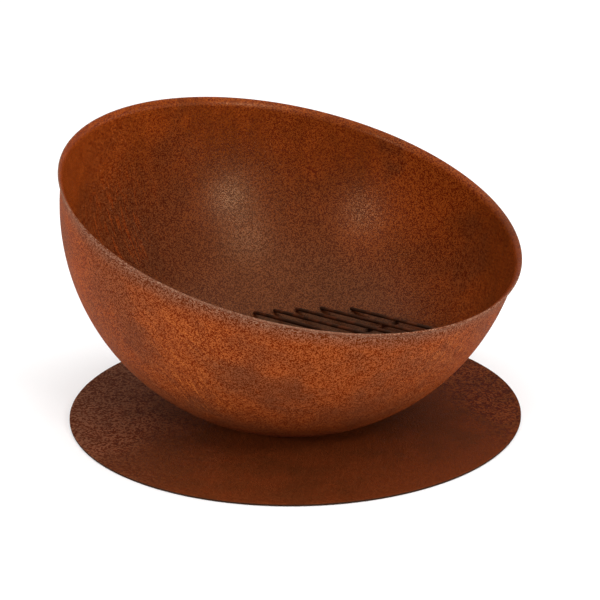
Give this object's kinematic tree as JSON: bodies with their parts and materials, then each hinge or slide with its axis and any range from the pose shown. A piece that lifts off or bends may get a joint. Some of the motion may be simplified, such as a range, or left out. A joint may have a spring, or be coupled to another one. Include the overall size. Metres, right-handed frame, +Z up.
{
  "type": "fire pit with grate",
  "caption": "Leaning hemispherical steel fire bowl with a flared lip on a round base plate; it turns on a central stud and holds a loose rod grate that lifts out.",
  "frame": {"origin": "centre of the base plate's underside, on the ground", "axes": "+Z up; +X is the way the bowl leans, towards the low side of its rim; +Y completes a right-handed frame"},
  "size_m": [0.5999, 0.6112, 0.3691],
  "materials": {
    "rusted_bowl": "matte",
    "rusted_plate": "matte",
    "sooty_steel": "matte",
    "zinc_steel": "satin"
  },
  "bodies": {
    "base": {"base_plate": "rusted_plate", "pivot_stud": "zinc_steel", "clamp_washer": "zinc_steel", "spring_washer": "zinc_steel", "hex_nut": "zinc_steel"},
    "bowl": {"bowl_shell": "rusted_bowl"},
    "grate": {"grate_rod_01": "sooty_steel", "grate_rod_02": "sooty_steel", "grate_rod_03": "sooty_steel", "grate_rod_04": "sooty_steel", "grate_rod_05": "sooty_steel", "grate_rod_06": "sooty_steel", "grate_rod_07": "sooty_steel", "grate_rod_08": "sooty_steel", "grate_rod_09": "sooty_steel", "grate_rod_10": "sooty_steel", "grate_rod_11": "sooty_steel", "grate_rod_12": "sooty_steel", "grate_rod_13": "sooty_steel", "grate_rod_14": "sooty_steel", "grate_rod_15": "sooty_steel", "grate_rod_16": "sooty_steel", "grate_spine": "sooty_steel"}
  },
  "joints": [
    {"name": "bowl_turn", "type": "hinge", "parent": "base", "child": "bowl", "pos_m": [0, 0, 0], "axis": [0, 0, 1], "continuous": true},
    {"name": "grate_lift", "type": "slide", "parent": "bowl", "child": "grate", "axis": [0, 0, 1], "range_m": [0, 0.34]}
  ]
}
